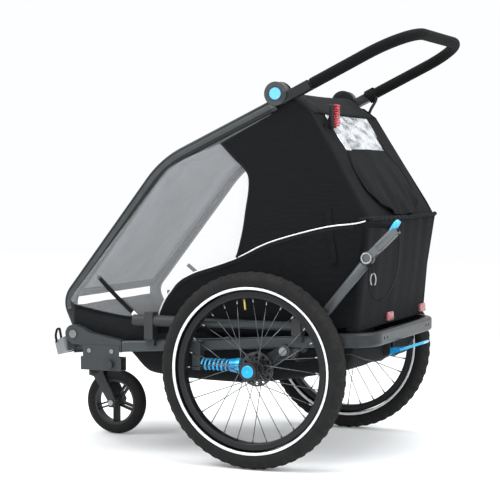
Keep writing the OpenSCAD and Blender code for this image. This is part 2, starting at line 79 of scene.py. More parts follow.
class Shader:
    """A Principled material whose colour, roughness and bump come from nodes."""

    def __init__(self, name, colour, rough, metallic=0.0, spec=0.5, alpha=1.0):
        self.mat = bpy.data.materials.new(name)
        self.mat.use_nodes = True
        self.tree = self.mat.node_tree
        self.bsdf = self.tree.nodes["Principled BSDF"]
        self.bsdf.inputs["Metallic"].default_value = metallic
        self.bsdf.inputs["Specular IOR Level"].default_value = spec
        self.bsdf.inputs["Alpha"].default_value = alpha
        self.bsdf.inputs["Roughness"].default_value = rough
        self.bsdf.inputs["Base Color"].default_value = (*colour, 1)
        self.colour, self.rough = colour, rough
        self.coords = self.new("ShaderNodeTexCoord").outputs["Object"]

    def new(self, kind, **settings):
        node = self.tree.nodes.new(kind)
        for key, value in settings.items():
            setattr(node, key, value)
        return node

    def link(self, a, b):
        self.tree.links.new(a, b)

    def math(self, operation, a, b):
        node = self.new("ShaderNodeMath", operation=operation)
        for socket, value in zip(node.inputs, (a, b)):
            if isinstance(value, (int, float)):
                socket.default_value = value
            else:
                self.link(value, socket)
        return node.outputs[0]

    def noise(self, scale, detail=4.0, stretch=None):
        node = self.new("ShaderNodeTexNoise")
        node.inputs["Scale"].default_value = scale
        node.inputs["Detail"].default_value = detail
        source = self.coords
        if stretch:
            mapping = self.new("ShaderNodeMapping")
            mapping.inputs["Scale"].default_value = stretch
            self.link(source, mapping.inputs["Vector"])
            source = mapping.outputs[0]
        self.link(source, node.inputs["Vector"])
        return node.outputs["Fac"]

    def weave(self, pitch):
        """Two diagonal sets of threads, pitch metres apart."""
        outs = []
        for axis in ("X", "Y", "Z"):
            wave = self.new("ShaderNodeTexWave", bands_direction=axis)
            wave.inputs["Scale"].default_value = 2 * math.pi / (20 * pitch)
            wave.inputs["Distortion"].default_value = 0.6
            self.link(self.coords, wave.inputs["Vector"])
            outs.append(wave.outputs["Fac"])
        return self.math("ADD", self.math("MULTIPLY", outs[0], outs[2]), self.math("MULTIPLY", outs[1], outs[2]))

    def tint(self, factor, low, high, start=0.35, stop=0.65):
        ramp = self.new("ShaderNodeValToRGB")
        ramp.color_ramp.elements[0].position = start
        ramp.color_ramp.elements[1].position = stop
        ramp.color_ramp.elements[0].color = (*low, 1)
        ramp.color_ramp.elements[1].color = (*high, 1)
        self.link(factor, ramp.inputs["Fac"])
        self.link(ramp.outputs["Color"], self.bsdf.inputs["Base Color"])
        return self

    def vary(self, scale, share, detail=4.0, stretch=None):
        low = [c * (1 - share) for c in self.colour]
        high = [min(1, c * (1 + share)) for c in self.colour]
        return self.tint(self.noise(scale, detail, stretch), low, high)

    def paint_edge_highlight(self, light):
        """Painted highlight: lighter along convex edges, where the rounded edge would catch the light."""
        point = self.new("ShaderNodeNewGeometry").outputs["Pointiness"]
        ramp = self.new("ShaderNodeMapRange")
        ramp.inputs["From Min"].default_value = 0.52
        ramp.inputs["From Max"].default_value = 0.6
        self.link(point, ramp.inputs["Value"])
        mix = self.new("ShaderNodeMix", data_type="RGBA")
        self.link(ramp.outputs[0], mix.inputs["Factor"])
        source = self.bsdf.inputs["Base Color"].links[0].from_socket
        self.link(source, mix.inputs["A"])
        mix.inputs["B"].default_value = (*light, 1)
        self.link(mix.outputs["Result"], self.bsdf.inputs["Base Color"])
        return self

    def roughen(self, scale, spread):
        ramp = self.new("ShaderNodeMapRange")
        ramp.inputs["To Min"].default_value = max(0.03, self.rough - spread)
        ramp.inputs["To Max"].default_value = min(1, self.rough + spread)
        self.link(self.noise(scale), ramp.inputs["Value"])
        self.link(ramp.outputs[0], self.bsdf.inputs["Roughness"])
        return self

    def bump(self, *heights, distance=0.001):
        """heights are (socket, strength) pairs, added up into one bump."""
        total = None
        for socket, strength in heights:
            part = self.math("MULTIPLY", socket, strength)
            total = part if total is None else self.math("ADD", total, part)
        node = self.new("ShaderNodeBump")
        node.inputs["Distance"].default_value = distance
        self.link(total, node.inputs["Height"])
        self.link(node.outputs[0], self.bsdf.inputs["Normal"])
        return self

    def sheen(self, amount, rough=0.5):
        self.bsdf.inputs["Sheen Weight"].default_value = amount
        self.bsdf.inputs["Sheen Roughness"].default_value = rough
        return self


def build_materials():
    made = {}

    def metal(name, colour, rough, metallic, grain, highlight_colour=None):
        s = Shader(name, colour, rough, metallic, spec=0.3)
        s.vary(35, 0.14).roughen(60, 0.07)
        s.bump((s.noise(grain, 6), 0.25), distance=0.0004)
        # painted highlight along convex edges, in this lighter colour
        if highlight_colour:
            s.paint_edge_highlight(highlight_colour)
        made[name] = s.mat

    # the last colour in a call, where given, is a painted edge highlight
    metal("frame_metal", (0.009, 0.011, 0.0118), 0.4, 0.2, 1800, (0.04, 0.046, 0.049))
    metal("frame_light", (0.032, 0.037, 0.039), 0.36, 0.35, 1800, (0.1, 0.11, 0.115))
    metal("bumper_metal", (0.022, 0.0255, 0.027), 0.38, 0.35, 1500, (0.06, 0.068, 0.07))
    metal("cast_metal", (0.009, 0.0105, 0.011), 0.5, 0.15, 900, (0.03, 0.034, 0.036))
    metal("bolt_steel", (0.24, 0.25, 0.26), 0.3, 0.95, 700)
    metal("brake_steel", (0.07, 0.073, 0.076), 0.34, 0.9, 1200)
    metal("spoke_steel", (0.09, 0.095, 0.1), 0.26, 0.95, 1500)
    metal("rim_black", (0.005, 0.0055, 0.006), 0.34, 0.15, 1500, (0.06, 0.065, 0.07))
    metal("blue_anodised", (0.012, 0.3, 0.66), 0.3, 0.35, 1400, (0.1, 0.5, 0.8))
    metal("button_blue", (0.06, 0.33, 0.62), 0.36, 0.0, 1400, (0.12, 0.42, 0.7))
    metal("ring_steel", (0.3, 0.31, 0.32), 0.3, 0.85, 900)
    metal("brass", (0.5, 0.36, 0.12), 0.34, 0.9, 900)

    def plastic(name, colour, rough, grain, light):
        s = Shader(name, colour, rough, spec=0.18)
        s.vary(28, 0.2).roughen(90, 0.08)
        s.bump((s.noise(grain, 5), 0.6), distance=0.0003)
        # painted highlight along convex edges
        s.paint_edge_highlight(light)
        made[name] = s.mat

    # the last colour in each call is a painted edge highlight
    plastic("black_plastic", (0.0055, 0.006, 0.0065), 0.5, 2200, (0.03, 0.032, 0.034))
    plastic("tyre_rubber", (0.0065, 0.0065, 0.0068), 0.74, 1500, (0.03, 0.03, 0.03))
    plastic("tread_rubber", (0.0105, 0.0105, 0.0105), 0.86, 900, (0.02, 0.02, 0.02))

    def cloth(name, colour, pitch, mottle, share, sheen_amount, rough=0.82, thread=0.5):
        s = Shader(name, colour, rough, spec=0.09)
        s.vary(mottle, share, 6)
        s.sheen(sheen_amount)
        s.bump((s.weave(pitch), thread), (s.noise(420, 5), 0.5), (s.noise(38, 3), 1.2), distance=0.0006)
        made[name] = s.mat

    cloth("shell_fabric", (0.0048, 0.0054, 0.0064), 0.0011, 900, 0.5, 0.012)
    cloth("shell_light", (0.0075, 0.0085, 0.0098), 0.0012, 800, 0.45, 0.02)
    cloth("seat_fabric", (0.013, 0.0148, 0.017), 0.0016, 700, 0.4, 0.04, 0.88, 0.9)
    cloth("webbing", (0.0045, 0.0048, 0.0053), 0.0022, 500, 0.35, 0.01, 0.7, 1.2)
    cloth("foam_grip", (0.0045, 0.0048, 0.0052), 0.0009, 1500, 0.45, 0.015, 0.92, 0.3)

    s = Shader("mesh_fabric", (0.23, 0.25, 0.285), 0.7, spec=0.25, alpha=0.74)
    s.vary(9, 0.22, 3, (1, 1, 0.5))
    s.bump((s.weave(0.0016), 1.0), (s.noise(30, 3), 1.0), distance=0.0007)
    made["mesh_fabric"] = s.mat

    s = Shader("clear_film", (0.86, 0.89, 0.92), 0.08, spec=0.5, alpha=0.07)
    s.roughen(12, 0.04)
    s.bump((s.noise(14, 3), 1.0), distance=0.003)
    made["clear_film"] = s.mat

    s = Shader("rear_film", (0.7, 0.73, 0.76), 0.07, metallic=0.55, spec=0.9, alpha=0.93)
    # painted reflection: light grey streaks over dark grey on nearly opaque film
    painted_reflection_streaks = s.noise(16, 5, (1.2, 1.0, 3.2))
    s.tint(painted_reflection_streaks, (0.2, 0.215, 0.23), (0.72, 0.75, 0.78), 0.34, 0.56)
    s.bump((s.noise(22, 4, (1, 1, 2.2)), 1.0), distance=0.012)
    made["rear_film"] = s.mat

    s = Shader("reflective_silver", (0.62, 0.65, 0.66), 0.3, metallic=0.25)
    s.vary(60, 0.12).bump((s.noise(1600, 3), 0.8), distance=0.0003)
    made["reflective_silver"] = s.mat

    s = Shader("red_lens", (0.5, 0.012, 0.02), 0.14, spec=0.7)
    cell = s.new("ShaderNodeTexVoronoi")
    cell.inputs["Scale"].default_value = 420
    s.link(s.coords, cell.inputs["Vector"])
    s.tint(cell.outputs["Distance"], (0.62, 0.03, 0.04), (0.3, 0.004, 0.012), 0.1, 0.6)
    s.bump((cell.outputs["Distance"], 1.0), distance=0.0008)
    made["red_lens"] = s.mat

    s = Shader("reflector_red", (0.55, 0.1, 0.12), 0.16, spec=0.8)
    cell = s.new("ShaderNodeTexVoronoi")
    cell.inputs["Scale"].default_value = 330
    s.link(s.coords, cell.inputs["Vector"])
    s.tint(cell.outputs["Distance"], (0.42, 0.3, 0.3), (0.26, 0.02, 0.03), 0.2, 0.6)
    s.bump((cell.outputs["Distance"], 1.0), distance=0.0008)
    made["reflector_red"] = s.mat
    return made


MAT = build_materials()

for node_name, obj in nodes.items():
    given = obj.data.materials[0].name.split(".")[0] if obj.data.materials else ""
    row = next((s for s in frame["record"]["subparts"] if s["node"] == node_name), None)
    chosen = MAT.get(row["material_slot"] if row else given, MAT["cast_metal"])
    obj.data.materials.clear()
    obj.data.materials.append(chosen)

SPECIAL = {"rear_bumper": "bumper_metal", "cross_tubes": "cast_metal", "hitch_arm": "frame_light"}
for node_name, mat_name in SPECIAL.items():
    nodes[node_name].data.materials[0] = MAT[mat_name]


# ---------------------------------------------------------------- building tools

def finish_piece(obj, mat, body, smooth=True):
    obj.data.materials.append(MAT[mat])
    if smooth and obj.type == "MESH":
        for face in obj.data.polygons:
            face.use_smooth = True
    if body:
        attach(obj, body)
    return obj


def add_mesh(name, points, faces, mat, body, smooth=True):
    mesh = bpy.data.meshes.new(name)
    mesh.from_pydata([tuple(p) for p in points], [], faces)
    mesh.update()
    obj = bpy.data.objects.new(name, mesh)
    bpy.context.collection.objects.link(obj)
    return finish_piece(obj, mat, body, smooth=smooth)


def outward(obj):
    bm = bmesh.new()
    bm.from_mesh(obj.data)
    bmesh.ops.recalc_face_normals(bm, faces=bm.faces)
    bm.to_mesh(obj.data)
    bm.free()
    return obj


def joined(name, parts, mat, body, smooth=True):
    """One mesh from several (points, faces) lists."""
    points, faces = [], []
    for some_points, some_faces in parts:
        start = len(points)
        points += [tuple(p) for p in some_points]
        faces += [[i + start for i in f] for f in some_faces]
    return outward(add_mesh(name, points, faces, mat, body, smooth))


def smooth_path(points, count):
    """count points on a Catmull-Rom curve through points, evenly spaced."""
    pts = [Vector(p) for p in points]
    ends = [2 * pts[0] - pts[1]] + pts + [2 * pts[-1] - pts[-2]]
    fine = []
    for i in range(1, len(ends) - 2):
        a, b, c, d = ends[i - 1:i + 3]
        for k in range(12):
            t = k / 12
            fine.append(0.5 * (2 * b + (c - a) * t + (2 * a - 5 * b + 4 * c - d) * t * t
                               + (3 * b - a - 3 * c + d) * t ** 3))
    fine.append(pts[-1])
    return even(fine, count)


def even(points, count):
    pts = np.array([list(p) for p in points], float)
    step = np.r_[0, np.cumsum(np.linalg.norm(np.diff(pts, axis=0), axis=1))]
    at = np.linspace(0, step[-1], count)
    return [Vector([np.interp(t, step, pts[:, k]) for k in range(pts.shape[1])]) for t in at]


def filleted(points, radii, steps=10):
    """A 3-D polyline with its inner corners rounded."""
    pts = [Vector(p) for p in points]
    out = [pts[0]]
    for i, r in zip(range(1, len(pts) - 1), radii):
        a, b = (pts[i - 1] - pts[i]).normalized(), (pts[i + 1] - pts[i]).normalized()
        half = a.angle(b) / 2
        reach = r / math.tan(half)
        start, stop = pts[i] + a * reach, pts[i] + b * reach
        for k in range(steps + 1):
            t = k / steps
            out.append((1 - t) ** 2 * start + 2 * t * (1 - t) * (pts[i] * 0.9 + 0.05 * (start + stop)) + t * t * stop)
    out.append(pts[-1])
    return out


def frames_along(points, side=None):
    """Unit side and up vectors at each point. side keeps the section's width towards that direction."""
    pts = [Vector(p) for p in points]
    out, last = [], None
    for i, p in enumerate(pts):
        way = (pts[min(i + 1, len(pts) - 1)] - pts[max(i - 1, 0)]).normalized()
        guide = Vector(side[i]) if isinstance(side, list) else Vector(side) if side else last
        if guide is None:
            guide = Vector((0, 0, 1)) if abs(way.z) < 0.9 else Vector((1, 0, 0))
            guide = guide - way * guide.dot(way)
        s = (guide - way * guide.dot(way)).normalized()
        last = s
        out.append((s, way.cross(s).normalized(), way))
    return out


def swept(points, section, side=None, closed_ends=True, scale=None):
    """(points, faces) of a section, (s, u) pairs in metres, swept along points."""
    n, verts, faces = len(section), [], []
    for i, (p, (s, u, _)) in enumerate(zip(points, frames_along(points, side))):
        k = scale[i] if scale else 1
        verts += [Vector(p) + s * a * k + u * b * k for a, b in section]
    for i in range(len(points) - 1):
        for j in range(n):
            k = (j + 1) % n
            faces.append([i * n + j, i * n + k, (i + 1) * n + k, (i + 1) * n + j])
    if closed_ends:
        faces.append(list(range(n))[::-1])
        faces.append([(len(points) - 1) * n + j for j in range(n)])
    return verts, faces


def circle(r, sides=12):
    return [(r * math.cos(2 * math.pi * i / sides), r * math.sin(2 * math.pi * i / sides)) for i in range(sides)]


def rounded(w, h, r, steps=4):
    out = []
    for cx, cy, a in ((w / 2 - r, h / 2 - r, 0), (r - w / 2, h / 2 - r, 90),
                      (r - w / 2, r - h / 2, 180), (w / 2 - r, r - h / 2, 270)):
        for k in range(steps + 1):
            b = math.radians(a + 90 * k / steps)
            out.append((cx + r * math.cos(b), cy + r * math.sin(b)))
    return out


def tube(name, points, r, mat, body, sides=12, side=None):
    return joined(name, [swept(points, circle(r, sides), side)], mat, body)


def strap(name, points, width, thick, mat, body, side):
    """A flat webbing strap: width lies along side, which is one vector or one for each point."""
    section = rounded(width, thick, thick * 0.45, 2)
    obj = joined(name, [swept(points, section, side)], mat, None)
    if body:
        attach(obj, body)
    return obj


def turned_solid(name, centre, axis, profile, mat, body, sides=48):
    """A solid of revolution: profile is (along, radius) in metres from centre, along axis."""
    axis = Vector(axis).normalized()
    a = axis.orthogonal().normalized()
    b = axis.cross(a)
    verts, faces, n = [], [], len(profile)
    for i in range(sides):
        t = 2 * math.pi * i / sides
        out = a * math.cos(t) + b * math.sin(t)
        verts += [Vector(centre) + axis * u + out * r for u, r in profile]
    for i in range(sides):
        k = (i + 1) % sides
        for j in range(n - 1):
            faces.append([i * n + j, k * n + j, k * n + j + 1, i * n + j + 1])
    faces.append([i * n for i in range(sides)])
    faces.append([i * n + n - 1 for i in range(sides)][::-1])
    return joined(name, [(verts, faces)], mat, body)


def coons(low, high, front, back, nu, nv):
    """A grid of points filling four edges. low and high run front to back, front and back run low to high."""
    low, high = even(low, nu), even(high, nu)
    front, back = even(front, nv), even(back, nv)
    grid = []
    for j in range(nv):
        v = j / (nv - 1)
        row = []
        for i in range(nu):
            u = i / (nu - 1)
            edge = (1 - v) * low[i] + v * high[i] + (1 - u) * front[j] + u * back[j]
            corner = ((1 - u) * (1 - v) * low[0] + u * (1 - v) * low[-1]
                      + (1 - u) * v * high[0] + u * v * high[-1])
            row.append(edge - corner)
        grid.append(row)
    return grid


def wrinkle(p, scale, amount, seed):
    q = Vector((p.x * scale[0] + seed * 7.3, p.y * scale[1], p.z * scale[2]))
    return amount * (noise.fractal(q, 1.0, 2.0, 3) + 0.5 * noise.noise(q * 2.7))


def sheet_from_grid(name, grid, mat, thick=0.0016, hole=None, body=None):
    """A cloth sheet, thick metres, from a grid of points. hole(j, i) tells which cells are left out."""
    nv, nu = len(grid), len(grid[0])
    points = [p for row in grid for p in row]
    faces = [[j * nu + i, j * nu + i + 1, (j + 1) * nu + i + 1, (j + 1) * nu + i]
             for j in range(nv - 1) for i in range(nu - 1) if not (hole and hole(j, i))]
    obj = add_mesh(name, points, faces, mat, None)
    solid = obj.modifiers.new("thickness", "SOLIDIFY")
    solid.thickness = thick
    solid.offset = 0
    bpy.context.view_layer.objects.active = obj
    obj.select_set(True)
    bpy.ops.object.modifier_apply(modifier=solid.name)
    obj.select_set(False)
    outward(obj)
    if body:
        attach(obj, body)
    return obj


def across_fold(obj):
    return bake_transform(obj)


# ---------------------------------------------------------------- shell fabric

def low_x(z):
    return 298 + 13 * min(max((z - 320) / 320, 0), 1)


def high_x(y, z):
    """The upper side's distance from the middle: it leans in towards the roof."""
    t = min(max((z - 560) / 355, 0), 1)
    return 309 - 41 * t + 5 * math.sin(math.pi * t) * min(max((y + 80) / 150, 0), 1)


PIPING = [(-298, 378), (-296, 390), (-281, 421), (-261, 448), (-237, 474), (-193, 497), (-130, 517), (-70, 538),
          (14, 577), (103, 604), (185, 623), (253, 631), (284, 638)]
WINDOW_REAR = [(-70, 539), (-63, 556), (-52, 610), (-46, 662), (-40, 715), (-43, 752), (-60, 776), (-88, 800),
               (-127, 838)]


def side_upper(side, tag):
    low = smooth_path(side_line(PIPING[7:]), 60)
    front = smooth_path(side_line(WINDOW_REAR), 50)
    top = side_line(((-127, 842), (-40, 886), (10, 912), (24, 934), (50, 952), (84, 944), (119, 917)))
    back = side_line(((284, 638), (262, 679), (205, 772), (160, 847), (119, 917)))
    flat = coons(low, top, front, back, 60, 60)
    grid = []
    for row in flat:
        line = []
        for q in row:
            p = P(side * high_x(q.x, q.y), q.x, q.y)
            p.x += side * wrinkle(p, (1, 5, 3), 0.0016, 3 if side > 0 else 5)
            line.append(p)
        grid.append(line)
    obj = sheet_from_grid("canopy_side_" + tag, grid, "shell_fabric")
    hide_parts("canopy_sides")
    across_fold(obj)


def side_lower(side, tag):
    top = smooth_path(side_line(PIPING), 70)
    low = side_line(((-314, 331), (-200, 338), (0, 349), (196, 360), (254, 372)))
    front = [Vector((-314, 331, 0)), Vector((-308, 352, 0)), Vector((-298, 378, 0))]
    back = [Vector((254, 372, 0)), Vector((264, 500, 0)), Vector((284, 638, 0))]
    flat = coons(low, top, front, back, 70, 40)
    grid = []
    for row in flat:
        line = []
        for q in row:
            p = P(side * low_x(q.y), q.x, q.y)
            p.x += side * wrinkle(p, (1, 7, 3), 0.0018, 11 if side > 0 else 13)
            line.append(p)
        grid.append(line)
    obj = sheet_from_grid("lower_side_" + tag, grid, "shell_fabric", body="chassis")
    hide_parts("lower_panels")
    line = [P(side * (low_x(z) + 1.6), y, z) for y, z in PIPING]
    tube("piping_" + tag, smooth_path(line, 90), 0.0019, "reflective_silver", "chassis", 10)
    hem = [P(side * (low_x(z) + 0.9), y + 2, z - 7) for y, z in PIPING[:-1]]
    strap("piping_hem_" + tag, smooth_path(hem, 80), 0.009, 0.0016, "shell_light", "chassis", (0, -0.35, 1))


def footwell_side(side, tag):
    grid = coons(side_line(((-556, 326), (-470, 320), (-405, 306), (-312, 314))),
                 side_line(((-560, 398), (-470, 381), (-400, 371), (-300, 376))),
                 [Vector((-556, 326, 0)), Vector((-560, 398, 0))],
                 [Vector((-312, 314, 0)), Vector((-300, 376, 0))], 40, 16)
    grid = [[P(side * (289 + 6 * math.sin(math.pi * j / 15)), q.x, q.y) for q in row] for j, row in enumerate(grid)]
    for row in grid:
        for p in row:
            p.x += side * wrinkle(p, (1, 14, 6), 0.003, 17)
    obj = sheet_from_grid("footwell_side_" + tag, grid, "shell_light", body="chassis")
    edge = [P(side * 293, y, z) for y, z in ((-560, 398), (-470, 381), (-400, 371), (-330, 368))]
    tube("footwell_binding_" + tag, smooth_path(edge, 30), 0.003, "webbing", "chassis", 8)


def side_window(side, tag):
    low = side_line(((-556, 398), (-470, 382), (-400, 372), (-318, 378), (-298, 380), (-283, 420),
                                          (-238, 474), (-193, 497), (-70, 538)))
    top = side_line(((-572, 412), (-560, 432), (-300, 752), (-280, 772), (-240, 794), (-127, 838)))
    flat = coons(low, top, [low[0], top[0]], smooth_path(side_line(WINDOW_REAR), 30), 50, 40)
    grid = []
    for row in flat:
        line = []
        for q in row:
            p = P(side * (291 - 16 * max(0, (q.y - 420) / 420)), q.x, q.y)
            p.x += side * wrinkle(p, (1, 3, 3), 0.003, 23)
            line.append(p)
        grid.append(line)
    obj = sheet_from_grid("side_window_" + tag, grid, "clear_film", 0.0008)
    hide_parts("side_windows")
    across_fold(obj)
    rim = [P(side * (high_x(y, z) + 1.5), y, z) for y, z in WINDOW_REAR]
    seam = strap("window_seam_" + tag, smooth_path(rim, 50), 0.007, 0.0018, "shell_light", None, (0, 1, 0.15))
    across_fold(seam)


REAR_LOW = (287, 641)
REAR_TOP = (118, 915)


def rear_point(x, s, out=0.0):
    """A point on the leaning rear panel, s from 0 at its top to 1 at its bottom, out mm proud of it."""
    y = REAR_TOP[0] + s * (REAR_LOW[0] - REAR_TOP[0])
    z = REAR_TOP[1] + s * (REAR_LOW[1] - REAR_TOP[1])
    return P(x, y + 0.851 * out, z + 0.525 * out)


def rear_half(s):
    return high_x(200, REAR_TOP[1] + s * (REAR_LOW[1] - REAR_TOP[1]))


WIN_TOP, WIN_LOW = 0.03, 0.35


def rear_upper():
    """The rear sheet, with the window's opening, and its rounded wrap on both sides."""
    v_lines = sorted(set([round(x, 4) for x in np.linspace(0, 1, 49)] + [WIN_TOP, WIN_LOW]))
    half_cols = list(np.linspace(0, 1, 17))
    outer_cols = list(np.linspace(0, 1, 9))[1:]
    grid = []
    for s in v_lines:
        h = rear_half(s)
        wing = 6 + 26 * s
        opening = 166 - 6 * min(max((s - WIN_TOP) / (WIN_LOW - WIN_TOP), 0), 1)
        right = [(opening * c, 0.0) for c in half_cols]
        flat_end = h - wing
        right += [(opening + (flat_end - opening) * c, 0.0) for c in outer_cols]
        corner = [(h - wing * (1 - math.sin(math.radians(a))), -wing * (1 - math.cos(math.radians(a))))
                  for a in (18, 36, 54, 72, 90)]
        right += corner
        row = [(-x, d) for x, d in right[:0:-1]] + right
        line = []
        for x, d in row:
            bulge = 7 * math.sin(math.pi * min(max(s, 0), 1)) * max(0, 1 - abs(x) / h)
            p = rear_point(x, s, d + bulge)
            fold = wrinkle(Vector((p.x, 0, s)), (9, 1, 3), 0.0025, 31) * math.sin(math.pi * s)
            p.y += fold
            line.append(p)
        grid.append(line)
    nu = len(grid[0])
    middle = nu // 2
    top = v_lines.index(WIN_TOP)
    low = v_lines.index(WIN_LOW)

    def hole(j, i):
        return top <= j < low and middle - 16 <= i < middle + 16

    obj = sheet_from_grid("rear_panel_fabric", grid, "shell_fabric", hole=hole)
    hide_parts("rear_panel")
    across_fold(obj)
    film = []
    for j in range(36):
        s = WIN_TOP - 0.012 + (WIN_LOW - WIN_TOP + 0.024) * j / 35
        row = []
        for i in range(60):
            x = (170 - 6 * j / 35) * (2 * i / 59 - 1)
            p = rear_point(x, s, 2.5 + 6 * math.sin(math.pi * j / 35) * (1 - (x / 175) ** 2))
            crinkle = wrinkle(Vector((x / 1000, 0, s * 0.3)), (30, 1, 14), 0.0032, 41)
            p += Vector((0, 0.851, 0.525)) * crinkle * math.sin(math.pi * (j + 1) / 37)
            row.append(p)
        film.append(row)
    obj = sheet_from_grid("rear_window_film", film, "rear_film", 0.0008)
    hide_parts("rear_window")
    across_fold(obj)
    flap()


def flap():
    """The window's cover, hanging down over the rear panel in soft folds."""
    grid = []
    rows, cols = 44, 72
    for j in range(rows):
        v = j / (rows - 1)
        row = []
        for i in range(cols):
            u = 2 * i / (cols - 1) - 1
            droop = 0.36
            end = 0.985 - 0.26 * abs(u) ** 3.2
            s = droop + (end - droop) * v
            half = 158 + 42 * min(1, v * 2.2)
            x = half * u
            lift = 3 + 9 * v * (1 - 0.4 * abs(u))
            folds = 4.5 * math.sin(9 * u + 2.2 * v) * v ** 1.3 + 2.6 * math.sin(19 * u - 3 * v) * v ** 2
            sag = 5 * math.sin(math.pi * v) * math.cos(u * 1.4)
            row.append(rear_point(x, s, lift + max(folds, -3) + sag))
        grid.append(row)
    obj = sheet_from_grid("window_flap", grid, "shell_fabric", 0.0018)
    across_fold(obj)
    edge = [grid[j][-1] for j in range(rows)] + [grid[-1][i] for i in range(cols - 1, -1, -1)] \
        + [grid[j][0] for j in range(rows - 1, -1, -1)]
    hem = tube("window_flap_hem", even(edge, 160), 0.0024, "webbing", None, 8)
    across_fold(hem)


def rear_lower():
    """The luggage bag's back, wrapped round both rear corners."""
    grid = []
    for j in range(40):
        v = j / 39
        z = 357 + (640 - 357) * v
        y = 254 + 33 * v ** 1.15
        h = low_x(z) - 1
        wing = 26
        right = [((h - wing) * c, 0.0) for c in np.linspace(0, 1, 26)]
        right += [(h - wing * (1 - math.sin(math.radians(a))), -wing * (1 - math.cos(math.radians(a))))
                  for a in (15, 30, 45, 60, 75, 90)]
        row = [(-x, d) for x, d in right[:0:-1]] + right
        line = []
        for x, d in row:
            bulge = 6 * math.sin(math.pi * v) * (1 - (x / h) ** 2)
            folds = 3.0 * math.sin(x / 17) * math.sin(x / 61 + 1.2) * (0.25 + 0.75 * v)
            line.append(P(x, y + d + bulge + (folds if d == 0 else 0), z))
        grid.append(line)
    obj = sheet_from_grid("luggage_back", grid, "shell_fabric", body="chassis")
    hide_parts("luggage_box")
    half_hem = ((309, 262, 640), (300, 281, 643), (280, 289, 643), (150, 294, 642))
    hem = [P(x, y + 2, z) for x, y, z in half_hem] + [P(0, 298, 641)]
    hem += [P(-x, y + 2, z) for x, y, z in reversed(half_hem)]
    points = smooth_path(hem, 140)
    points = [p + Vector((0, 0.0022 * math.sin(i * 0.9), 0.0016 * math.sin(i * 1.7))) for i, p in enumerate(points)]
    tube("bag_hem", points, 0.005, "shell_light", "chassis", 10)
    floor = []
    for j in range(10):
        row = []
        for i in range(30):
            x = 290 * (2 * i / 29 - 1)
            row.append(P(x, 142 + 112 * j / 9, 360 - 3 * math.sin(math.pi * i / 29)))
        floor.append(row)
    obj = sheet_from_grid("luggage_floor", floor, "shell_light", body="chassis")
    front = []
    for j in range(20):
        z = 360 + 250 * j / 19
        front.append([P(292 * (2 * i / 29 - 1), 144 - 6 * math.sin(math.pi * j / 19), z) for i in range(30)])
    obj = sheet_from_grid("luggage_front", front, "shell_light", body="chassis")
    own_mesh(obj)


def roof():
    section = [(-14, 946), (-2, 960), (12, 969), (30, 972), (55, 966), (86, 944), (112, 924), (121, 914)]
    line = smooth_path(side_line(section), 28)
    grid = []
    for j, q in enumerate(line):
        v = j / 27
        half = 255 + 12 * v ** 2.2
        row = []
        for i in range(60):
            u = 2 * i / 59 - 1
            sag = -4 * (1 - u * u) * math.sin(math.pi * v)
            edge = -16 * (max(0, abs(u) - 0.9) / 0.1) ** 1.6
            fold = 2.4 * math.sin(14 * abs(u) + 5 * v) * math.exp(-((abs(u) - 0.8) / 0.22) ** 2) * math.sin(math.pi * v)
            row.append(P(half * u, q.x, q.y + sag + edge + fold))
        grid.append(row)
    obj = sheet_from_grid("roof_fabric", grid, "shell_fabric", 0.002, body="upper_frame")
    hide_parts("roof_panel")
    for side, tag in ((1, "left"), (-1, "right")):
        profile = [(0, 0.0335), (0.006, 0.034), (0.012, 0.031), (0.016, 0.022), (0.018, 0.008), (0.0182, 0.0005)]
        turned_solid("hinge_sleeve_" + tag, P(side * 248, 26, 962), (-side, 0, 0), profile,
                     "shell_light", "upper_frame")


def mesh_front():
    path = even(filleted([Vector((-586, 421, 0)), Vector((-298, 785, 0)), Vector((-14, 919, 0))], [230]), 56)
    grid = []
    for j, q in enumerate(path):
        v = j / 55
        row = []
        for i in range(50):
            u = 2 * i / 49 - 1
            sag = 9 * (1 - u * u) * math.sin(math.pi * v)
            crease = 1.8 * math.sin(26 * v + 7 * u) * math.exp(-((v - 0.62) / 0.12) ** 2) * abs(u)
            row.append(P(250 * u, q.x + 0.7 * (sag + crease), q.y - 0.7 * (sag + crease)))
        grid.append(row)
    obj = sheet_from_grid("front_mesh_cover", grid, "mesh_fabric", 0.0008, body="upper_frame")
    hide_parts("front_mesh")
    for side, tag in ((1, "left"), (-1, "right")):
        line = [grid[j][-1 if side > 0 else 0] + Vector((-side * 0.012, 0, 0)) for j in range(56)]
        strap("mesh_border_" + tag, line, 0.034, 0.0016, "webbing", "upper_frame", (1, 0, 0))
    low = [grid[0][i] + Vector((0, 0.006, 0.006)) for i in range(0, 50)]
    strap("mesh_border_low", low, 0.03, 0.0018, "webbing", "upper_frame", (0, 0.62, 0.78))


